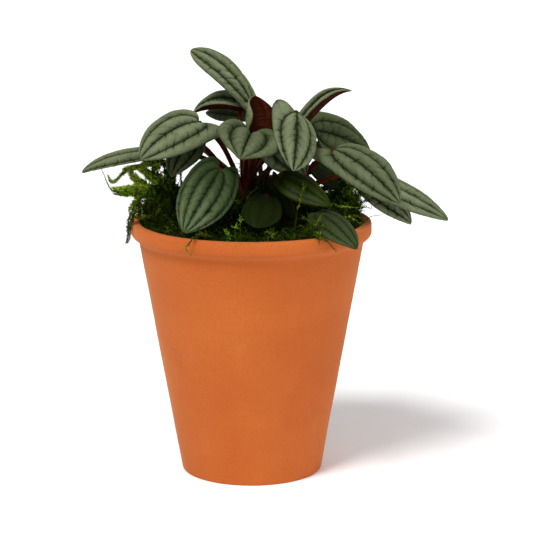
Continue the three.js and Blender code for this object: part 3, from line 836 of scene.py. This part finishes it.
tree, given = geometry_tree(
    "moss_cushion", Int=["rings", "spokes"], Float=["edge_radius", "foot_radius", "lumps"]
)
grid, v, around = sheet(tree, given.rings, given.spokes + 1)
v = v + 0.5
angle = around * FULL_TURN
on_top = v.math("LESS_THAN", TOP_SHARE)
top_reach = (v / (TOP_SHARE - 1 / BED_RINGS)).at_most(1)
under_reach = ((1 - v) / (1 - TOP_SHARE)).at_most(1).at_least(0)
reach = top_reach * on_top * given.edge_radius
reach = reach + under_reach * (1 - on_top) * given.foot_radius
x, y = reach * angle.cos(), reach * angle.sin()
height = BED_EDGE - BED_SINK
for cx, cy, high, wide in BED_HUMPS:
    dx, dy = x - cx * MM, y - cy * MM
    far = (dx * dx + dy * dy) / (wide * MM) ** 2
    height = (-far).exp() * (high * MM) + height
lumps = (speckle(xyz(x, y, 0.0), 130, detail=3) - 0.5) * given.lumps
height = (height + lumps * (1 - top_reach**6)) * on_top + (1 - on_top) * SOIL_TOP
close_tree(given, bent(grid, xyz(x, y, height), 1e-6))

tree, given = geometry_tree("moss_strands", Float=["spacing", "lean", "unit"], Int=["seed"])
# This tree works in millimetres, and its unit makes the result metres.
lines = geo(tree, "MeshToCurve", {"Mesh": given.start})
spindle = geo(tree, "MeshUVSphere", {"Segments": 3, "Rings": 2, "Radius": 0.5})
spindle = geo(tree, "Transform", {"Geometry": spindle, "Translation": (0, 0, 0.5)})
leaflet = keep_number(spindle, "tip", parts(position(tree))[2])
knots = geo(tree, "CurveToPoints", {"Curve": lines, "Length": given.spacing}, mode="LENGTH")
spun = turned(knots.outputs["Rotation"], (0, 0, 1), chance(given.seed + 1) * FULL_TURN)
tilted = turned(spun, (0, 1, 0), (chance(given.seed + 2) + 0.5) * given.lean)
size = (chance(given.seed + 3) * 0.7 + 0.65) * Formula(point_number(tree, "leaflet"))
leaflets = geo(
    tree, "InstanceOnPoints",
    {
        "Points": knots, "Instance": leaflet, "Rotation": tilted,
        "Selection": chance(given.seed).math("LESS_THAN", point_number(tree, "fullness")),
        "Scale": xyz(size * 0.22, size * 0.42, size),
    },
)
unit = given.unit
both = joined(tube(lines, 3), leaflets)
shrunk = geo(tree, "Transform", {"Geometry": both, "Scale": xyz(unit, unit, unit)})
close_tree(given, shrunk)

tree, given = geometry_tree(
    "moss_carpet", Collection=["sprigs", "leaves"], Int=["seed"],
    Float=["density", "spacing", "clearance", "lowest"],
)
rising = parts(geo(tree, "InputNormal"))[2].math("GREATER_THAN", 0.05)
high = parts(position(tree))[2].math("GREATER_THAN", given.lowest)
spread = geo(
    tree, "DistributePointsOnFaces",
    {
        "Mesh": given.start, "Selection": rising * high, "Distance Min": given.spacing,
        "Density Max": given.density, "Seed": given.seed,
    },
    distribute_method="POISSON",
)
leaves = geo(tree, "CollectionInfo", {"Collection": given.leaves})
leaves = geo(tree, "RealizeInstances", {"Geometry": leaves})
near = geo(tree, "Proximity", {0: leaves}, target_element="FACES")
lean = add(
    tree, "FunctionNodeRandomValue",
    {"Min": (-1.1, -1.1, -0.2), "Max": (1.1, 1.1, 0.8), "Seed": given.seed + 1},
    data_type="FLOAT_VECTOR",
)
way = summed(spread.outputs["Normal"], lean)
upright = add(tree, "FunctionNodeAlignRotationToVector", {"Vector": way}, axis="Z")
choice = add(  # inputs 4 and 5 are the least and the most whole number
    tree, "FunctionNodeRandomValue", {4: 0, 5: 100, "Seed": given.seed + 4}, data_type="INT"
)
kinds = geo(
    tree, "CollectionInfo",
    {"Collection": given.sprigs, "Separate Children": True, "Reset Children": True},
)
placed = geo(
    tree, "InstanceOnPoints",
    {
        "Points": spread, "Instance": kinds, "Pick Instance": True,
        "Selection": Formula(near.outputs["Distance"]).math("GREATER_THAN", given.clearance),
        "Instance Index": choice.outputs[2],
        "Rotation": turned(upright, (0, 0, 1), chance(given.seed + 2) * FULL_TURN),
        "Scale": chance(given.seed + 3) * 0.7 + 0.65,
    },
)
close_tree(given, joined(placed, given.start))

moss_green, tree, shader = finish("moss_green", {"Roughness": 0.8, "Specular IOR Level": 0.03})
place = object_place(tree)
tip, light = own_number(tree, "tip"), own_number(tree, "light")
patch = ramp(speckle(place, 90, detail=3), 0.35, 0.7)
fleck = ramp(speckle(place, 700, detail=1), 0.35, 0.65)
fresh = mix(patch, "80b31e", "c6d94c")
dark = mix(fleck, "060901", "1a2705")
glow = ramp(speckle(place, 200), 0.42, 0.64) * 0.65 + 0.35
grain = ramp(speckle(place, 950), 0.4, 0.58) * 0.8 + 0.2
# The fresh share grows with each leaflet's tip and each strand's lightness: partly the moss's own
# fresh and old colour, partly painted light and shade, dark at leaflet bases and on the bed, light
# at lit tips.
colour = mix(((tip * 0.8 + 0.2) * light * glow).at_most(1.15) * grain, dark, fresh)
feed(shader.inputs["Base Color"], colour)

dice = random.Random(11)


def wander(start, heading, length, droop, wiggle, step=1.2, widest=60):
    """A strand's path: from a start, along a heading, sinking and wiggling as it goes."""
    points, way = [Vector(start)], Vector(heading).normalized()
    for _ in range(max(2, round(length / step))):
        turn = Vector([dice.uniform(-1, 1) for _ in range(3)]) * wiggle
        way = (way + turn + Vector((0, 0, -droop))).normalized()
        spot = points[-1] + way * step
        if spot.xy.length > widest:
            way = Vector((0, 0, 1))
            spot = points[-1] + way * step
        points.append(spot)
    return points


class Strands:
    """Paths for the moss, with the thickness, leaflets and lightness at every point; the lightness
    is partly the moss's own colour and partly painted light and shade.
    """

    def __init__(self):
        self.runs, self.values = [], {"girth": [], "leaflet": [], "fullness": [], "light": []}

    def add(self, path, girth, leaflet, fullness, light):
        self.runs.append([Vector(p) for p in path])
        for u in steps_of(len(path)):
            self.values["girth"].append(girth * (1 - 0.75 * u))
            self.values["leaflet"].append(leaflet * (1 - 0.55 * u**3))
            self.values["fullness"].append(fullness)
            # Each strand grows lighter towards its end: partly fresher tips, partly painted light
            # where the ends stand out of the shade.
            self.values["light"].append(light * (0.55 + 0.45 * u))

    def grown(self, name, spacing, lean, seed):
        """The strands as a piece, with a leaflet at every spacing."""
        return grow(
            name, "moss_strands", chain(name + "_lines", self.runs, **self.values),
            spacing=spacing, lean=lean, seed=seed, unit=MM, finish=moss_green,
        )


sprigs = bpy.data.collections.new("sprigs")
scene.collection.children.link(sprigs)
for kind, light in enumerate(SPRIG_LIGHTS):
    strands = Strands()
    path = wander((0, 0, 0), (0.4, 0, 1), SPRIG_LENGTH, 0.12, 0.35, step=1.8)
    strands.add(path, 0.14, 1.25, 1, light)
    sprig = strands.grown("sprig_%d" % kind, 0.44, 0.9, kind)
    scene.collection.objects.unlink(sprig)
    sprigs.objects.link(sprig)

blades = bpy.data.collections.new("blades")
scene.collection.children.link(blades)
for piece in list(scene.collection.objects):
    if piece.name.startswith("blade_"):
        blades.objects.link(piece)

bed = grow(
    "bed", "moss_cushion", rings=BED_RINGS, spokes=BED_SPOKES, lumps=BED_LUMPS,
    edge_radius=mouth_radius(BED_EDGE - BED_SINK) - BED_CLEARANCE,
    foot_radius=inner_radius(SOIL_TOP) - BED_CLEARANCE, finish=moss_green,
)
bed_mesh = bed.data
bpy.data.objects.remove(bed)
moss_bed = grow(
    "moss_bed_cover", "moss_carpet", bed_mesh,
    sprigs=sprigs, leaves=blades, finish=moss_green, **SPRIGS,
)
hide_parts("moss_bed")
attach(moss_bed, "root")
for sprig in list(sprigs.objects):
    bpy.data.objects.remove(sprig)
bpy.data.collections.remove(sprigs)
bpy.data.collections.remove(blades)

# The moss mound at the left: longer strands that arch over each other and over the rim, with
# light between them. The first ones follow the strands that stand out most.

# The lightness is partly the moss's own colour and partly painted light and shade: lit sprays on
# top are light, those deep in the mound dark.
SPRAYS = [  # path, girth, leaflet length, fullness, lightness, strands side by side, apart
    ([(-45, 4, 128.6), (-52, 3, 130), (-57, 2, 130), (-63.2, 2, 129.8)], 0.4, 1.7, 1, 4.5, 6, 0.9),
    ([(-45, 5, 126), (-51, 4, 128), (-56, 3, 128), (-62, 3, 128.2)], 0.4, 1.7, 1, 3, 5, 0.9),
    ([(-60, 2, 129), (-63.5, 2, 130), (-65.6, 2, 132.5), (-67, 2, 136.2), (-67.9, 2, 139.6)],
     0.45, 0.8, 0.4, 0.2, 1, 0),
    ([(-42, 8, 134), (-47.2, 8, 137.2), (-50.3, 7, 139.2), (-53.8, 6, 139.8), (-56.8, 5, 138.6),
     (-59.3, 4, 136.5), (-62.4, 3, 133.9), (-64.1, 2, 134), (-65.4, 2, 136.6)],
     0.5, 1.4, 1, 4.5, 3, 0.4),
    ([(-42, 9, 139), (-46.2, 8, 141.6), (-49.2, 7, 141), (-52.2, 6, 140), (-55.8, 5, 139.8),
     (-58.3, 4, 139.2)], 0.5, 1.6, 1, 4, 4, 0.7),
    ([(-47, 6, 130), (-52.2, 5, 131.9), (-54, 5, 134), (-55.3, 5, 138), (-53, 6, 139.6)],
     0.5, 1.7, 1, 4.5, 4, 0.9),
    ([(-42, 7, 130), (-46.2, 6, 134.5), (-49.5, 6, 138), (-52, 6, 139)], 0.5, 1.6, 1, 4.2, 5, 1.1),
    ([(-44, 4, 126), (-47.5, 3, 131), (-50, 3, 133.6), (-52.5, 3, 134.4)],
     0.5, 1.5, 1, 2.6, 3, 1.0),
    ([(-48, 5, 129), (-50, 4, 131.5), (-51.5, 4, 134.5), (-53.5, 5, 137.5)],
     0.5, 1.5, 1, 3.5, 3, 0.7),
    ([(-51, -3, 127), (-53, -6, 123.8), (-54.6, -8, 121)], 0.3, 1.5, 1, 2.5, 2, 0.8),
    ([(-48, 0, 115), (-50.2, -1, 119), (-51, -1, 123), (-50.5, 1, 127)], 0.4, 1.5, 1, 0.6, 5, 1.0),
    ([(-40, 9, 130), (-43.6, 9, 136), (-44.2, 9, 140), (-46.5, 8, 142)], 0.6, 1.5, 1, 0.5, 4, 1.0),
    ([(-37, 10, 130), (-39, 10, 135), (-39.4, 10, 140), (-42, 9, 142.5)], 0.6, 1.5, 1, 0.5, 4, 1.0),
    ([(-50, 8, 139.6), (-46, 8, 141.4), (-42, 9, 141.6), (-38, 10, 140.6)],
     0.5, 1.4, 1, 2.4, 6, 1.3),
    ([(-35, 10, 128), (-35.4, 9, 133), (-36, 8, 137.5)], 0.6, 1.4, 1, 0.3, 2, 0.7),
    ([(-31, 10, 128), (-32, 9, 134), (-31.6, 8, 139.4), (-29, 8, 142.4), (-26, 8, 140.6)],
     0.3, 1.0, 0.8, 0.3, 2, 0.2),
    ([(-27, 9, 126), (-26.4, 8, 132), (-27.5, 8, 138)], 0.3, 1.2, 0.8, 0.3, 2, 0.6),
    ([(-46, 2, 131), (-50, -2, 127.5), (-52, -7, 124.3), (-54.2, -12, 118.7), (-55.2, -12.5, 114.8),
     (-55.4, -13, 111.8), (-56.2, -13, 108.4)], 0.6, 1.4, 1, 0.7, 3, 0.5),
]
MOUND_MIDDLE = (-40, 6)
MOUND_REACH = (13, 12)
MOUND_STRANDS = 140
MOUTH_EDGE = 49


def on_bed(x, y, depth):
    """A point this far under the top of the bed, in millimetres, where a strand starts."""
    humps = sum(
        high * math.exp(-((x - cx) ** 2 + (y - cy) ** 2) / wide**2)
        for cx, cy, high, wide in BED_HUMPS
    )
    return x, y, (BED_EDGE - BED_SINK) / MM + humps - depth


def shaken(point, apart):
    """A point moved by up to so much each way."""
    return Vector(point) + Vector([dice.uniform(-apart, apart) for _ in range(3)])


mound = Strands()
for path, girth, leaflet, fullness, light, strands, apart in SPRAYS:
    for _ in range(strands):
        shift = shaken((0, 0, 0), apart)
        beside = [shaken(Vector(p) + shift, 0.5) for p in path]
        mound.add(smooth_path(beside, 6 * len(path)), girth, leaflet, fullness, light)
for _ in range(MOUND_STRANDS):
    angle, reach = dice.uniform(0, FULL_TURN), math.sqrt(dice.random())
    right, back = reach * math.cos(angle), reach * math.sin(angle)
    x, y = MOUND_MIDDLE[0] + MOUND_REACH[0] * right, MOUND_MIDDLE[1] + MOUND_REACH[1] * back
    if math.hypot(x, y) > MOUTH_EDGE:
        continue
    tall = dice.uniform(5, 15) * (1.2 - 0.4 * reach)
    heading = (0.3 * right, 0.3 * back, 1)
    path = wander(on_bed(x, y, 2), heading, tall, 0.05, 0.34, widest=53)
    mound.add(path, 0.35, dice.uniform(0.8, 1.3), 1, dice.choice((0.15, 0.3, 0.6, 1.5)))
moss_mound = mound.grown("moss_mound", 0.08, 1.15, 21)
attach(moss_mound, "root")

# The loose strands and tufts: thin curly strands over the whole bed, a few bright tufts at the
# front, and the ends that hang over the rim.

# Their lightness, as in the mound, is partly the moss's own colour and partly painted light and
# shade.
LOOSE_ENDS = [  # path, girth, leaflet length, fullness, lightness
    ([(-18, -38, 116), (-22.5, -46, 118.4), (-25.5, -50, 117.4), (-27.4, -50.6, 114.6),
     (-29.4, -50.6, 114)], 0.55, 1.4, 0.9, 0.9),
    ([(-29.2, -50.6, 114), (-28, -50.8, 112.4), (-26.4, -50.8, 110.6), (-24.8, -50.8, 108)],
     0.36, 0.6, 0.2, 5),
    ([(31, -24, 118), (35.6, -24, 127.6), (38.5, -24, 126.8), (43, -24, 126.5)],
     0.6, 1.2, 0.9, 2.2),
    ([(39, -24, 126.6), (43, -24, 126.5), (47, -23, 126), (51.2, -22, 126.8)], 0.42, 0.8, 0.8, 3.2),
    ([(38, -20, 117), (42.5, -22, 121.8), (46.4, -22.6, 120.2), (49.2, -23, 118), (50, -23, 116.8)],
     0.3, 1.1, 0.9, 2),
    ([(46, -14, 115), (51.5, -14, 118.8), (53.8, -14, 120.4), (57.2, -14, 120.9),
     (59.8, -14, 121.6)], 0.25, 1.0, 0.6, 3),
    ([(24, -42, 115), (28, -44.6, 118.6), (31, -48, 117.4), (34.2, -49.4, 114.6), (37, -50, 111.6)],
     0.42, 1.6, 0.8, 1.0),
    ([(24, -42, 116), (27, -45, 118.8), (29, -47.8, 117.2), (29.4, -49, 114.6)],
     0.4, 1.5, 0.8, 0.8),
    ([(19, -32, 116), (19.6, -33, 122), (20.2, -34, 127.6)], 0.3, 1.0, 0.9, 0.35),
    ([(20.2, -34, 127.4), (21.8, -34, 132), (22.8, -34, 138), (22.4, -34, 140)], 0.25, 0.8, 0.5, 3),
    ([(21.8, -34, 132), (22.6, -34, 136.4), (24.4, -34, 138)], 0.25, 1.0, 1, 2.4),
    ([(-3, -18, 124), (-1.4, -20, 130.6), (2.6, -20, 134.8)], 0.3, 0.5, 0.3, 2),
    ([(2, -16, 134), (4, -16, 138.6), (6, -16, 141.2), (7.8, -16, 140)], 0.2, 0.5, 0.2, 2),
    ([(-12, -26, 126), (-8.4, -28, 130.2), (-4.4, -28, 129.4)], 0.22, 0.5, 0.2, 3),
]
TUFTS = [  # middle, arm length, arms, lightness
    ((27, -43, 121.5), 8, 10, 1.7),
    ((25.5, -41, 116), 9, 14, 1.2),
    ((29, -43, 118), 6, 8, 1.4),
    ((8.6, -46, 118), 6, 9, 1.9),
    ((-10, -44, 117.5), 3.5, 8, 4.0),
    ((-7, -44, 121), 3, 6, 4.0),
    ((-4.8, -43, 124), 3, 6, 3.0),
    ((18, -45, 115.5), 6, 8, 1.2),
    ((26.5, -38, 118.5), 5, 10, 0.9),
    ((-20, -40, 117), 5, 8, 1.0),
    ((23.5, -31, 115.5), 4, 14, 0.8),
]
TUFT_ROOT = 114
loose = Strands()
for path, girth, leaflet, fullness, light in LOOSE_ENDS:
    loose.add(smooth_path(path, 8 * len(path)), girth, leaflet, fullness, light)


def anywhere():
    """A spot drawn evenly from the bed."""
    angle, reach = dice.uniform(0, FULL_TURN), 47 * math.sqrt(dice.random())
    return reach * math.cos(angle), reach * math.sin(angle)


def about(x, y):
    """Draws spots near another one, given by its place and how far they stray, each way."""
    return lambda: (dice.gauss(*x), dice.gauss(*y))


def draw(value):
    """A number from a range; a single number is itself."""
    return dice.uniform(*value) if isinstance(value, tuple) else value


def scatter(
    strands, spot, length, lean, droop, girth, leaflet, fullness, lights,
    inside=math.inf, rightward=0, upward=1, depth=1, wiggle=0.4, step=0.9, widest=60,
):
    """Loose strands that start in the bed, at drawn spots inside a circle, and wander off."""
    for _ in range(strands):
        x, y = spot()
        if math.hypot(x, y) > inside:
            continue
        turn = dice.uniform(0, FULL_TURN)
        heading = (math.cos(turn) * lean + rightward, math.sin(turn) * lean, upward)
        start = on_bed(x, y, depth)
        path = wander(start, heading, dice.uniform(*length), droop, wiggle, step, widest)
        loose.add(path, girth, draw(leaflet), draw(fullness), dice.choice(lights))


scatter(
    280, anywhere, (7, 15), lean=1, upward=1.1, depth=0, droop=0.15, girth=0.22,
    leaflet=(0.5, 1.0), fullness=(0, 0.6), lights=(0.3, 0.6, 1.8),
)
scatter(
    140, about((38, 7), (2, 10)), (6, 14), inside=48, lean=0.4, droop=0.08, widest=52, girth=0.22,
    leaflet=(0.7, 1.1), fullness=(0.7, 1), lights=(0.5, 1, 2.4),
)
scatter(
    90, about((44.5, 3), (7, 6)), (8, 17), inside=49.5, lean=0.35, rightward=0.3, droop=0.04,
    wiggle=0.3, widest=55, girth=0.26, leaflet=(0.9, 1.4), fullness=1, lights=(0.6, 1.2, 3),
)
# Painted shade: dark strands rise behind the stalks and stand in for the shade between them.
scatter(
    60, about((6, 12), (16, 7)), (8, 20), lean=0.3, droop=0.04, wiggle=0.3, step=1, widest=48,
    girth=0.3, leaflet=(0.8, 1.3), fullness=0.8, lights=(0.12, 0.2, 0.5),
)
for middle, size, arms, light in TUFTS:
    loose.add([(middle[0], middle[1] + 2, TUFT_ROOT), middle], 0.3, 1, 0.6, light)
    for _ in range(arms):
        turn = dice.uniform(0, FULL_TURN)
        heading = (math.cos(turn), math.sin(turn), dice.uniform(-0.6, 2.5))
        path = wander(middle, heading, size * dice.uniform(0.5, 1.2), 0.07, 0.32, 0.8)
        loose.add(path, 0.34, 0.8, 0.8, light * dice.uniform(0.5, 1.2))
moss_strands = loose.grown("moss_strands", 0.25, 1.05, 31)
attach(moss_strands, "root")

# The floor and the light: a plain white floor with a plain white backdrop far behind it, all
# round, that shows in low views only and gives no light, and soft light from four sides.

FLOOR_REACH = 8.0
BACKDROP_SIDES = 48
BACKDROP_HEIGHT = 4.0
STUDIO_GLOW = 0.3


def surface(name, points, faces, material):
    """A plain surface round the potted plant."""
    mesh = bpy.data.meshes.new(name)
    mesh.from_pydata(points, [], faces)
    mesh.materials.append(material)
    piece = bpy.data.objects.new(name, mesh)
    scene.collection.objects.link(piece)
    return piece


white, _, _ = finish("white_floor", {"Roughness": 0.9, "Base Color": (0.97, 0.97, 0.97, 1)})
edges = ((-1, -1), (1, -1), (1, 1), (-1, 1))
floor = surface(
    "floor", [(x * FLOOR_REACH, y * FLOOR_REACH, 0) for x, y in edges], [(0, 1, 2, 3)], white
)

paper, _, _ = finish(
    "white_paper",
    {
        "Roughness": 1.0, "Base Color": (0, 0, 0, 1), "Specular IOR Level": 0.0,
        "Emission Color": (1, 1, 1, 1), "Emission Strength": 1.0,
    },
)
corners = [FULL_TURN * n / BACKDROP_SIDES for n in range(BACKDROP_SIDES)]
backdrop = surface(
    "backdrop",
    [
        (FLOOR_REACH * math.cos(a), FLOOR_REACH * math.sin(a), z)
        for z in (0, BACKDROP_HEIGHT) for a in corners
    ],
    [
        (n, (n + 1) % BACKDROP_SIDES, (n + 1) % BACKDROP_SIDES + BACKDROP_SIDES, n + BACKDROP_SIDES)
        for n in range(BACKDROP_SIDES)
    ],
    paper,
)
backdrop.visible_shadow = backdrop.visible_diffuse = backdrop.visible_glossy = False

world = bpy.data.worlds.new("studio")
world.use_nodes = True
sky = world.node_tree.nodes["Background"].inputs
sky["Color"].default_value = (1, 1, 1, 1)
sky["Strength"].default_value = STUDIO_GLOW
scene.world = world
scene.view_settings.view_transform = "Standard"


def sun(name, rise, turn, softness, strength):
    """A soft light from afar: how high it stands and how far round from the front, in degrees."""
    light = bpy.data.lights.new(name, "SUN")
    light.angle, light.energy = math.radians(softness), strength
    lamp = bpy.data.objects.new(name, light)
    rise, turn = math.radians(rise), math.radians(turn)
    flat = math.cos(rise)
    way = Vector((math.sin(turn) * flat, -math.cos(turn) * flat, math.sin(rise)))
    lamp.rotation_euler = way.to_track_quat("Z", "Y").to_euler()
    scene.collection.objects.link(lamp)


sun("key", 56, -34, 22, 2.8)
sun("front", 25, 12, 60, 0.6)
sun("right", 20, 85, 70, 0.95)
sun("back", 50, 180, 60, 0.4)

# The camera stands a metre in front, a little above the rim, and looks down by twelve degrees.

CAMERA_PLACE = (0, -0.9702, 0.3009)
AIM = (0.00687, 0, 0.0945)
HALF_VIEW = math.radians(7)

camera = bpy.data.objects.new("camera", bpy.data.cameras.new("camera"))
camera.data.sensor_width = 36
camera.data.lens = camera.data.sensor_width / 2 / math.tan(HALF_VIEW)
camera.location = CAMERA_PLACE
camera.rotation_euler = (Vector(AIM) - Vector(CAMERA_PLACE)).to_track_quat("-Z", "Y").to_euler()
camera.data.clip_start, camera.data.clip_end = 0.01, 50
scene.collection.objects.link(camera)
scene.camera = camera
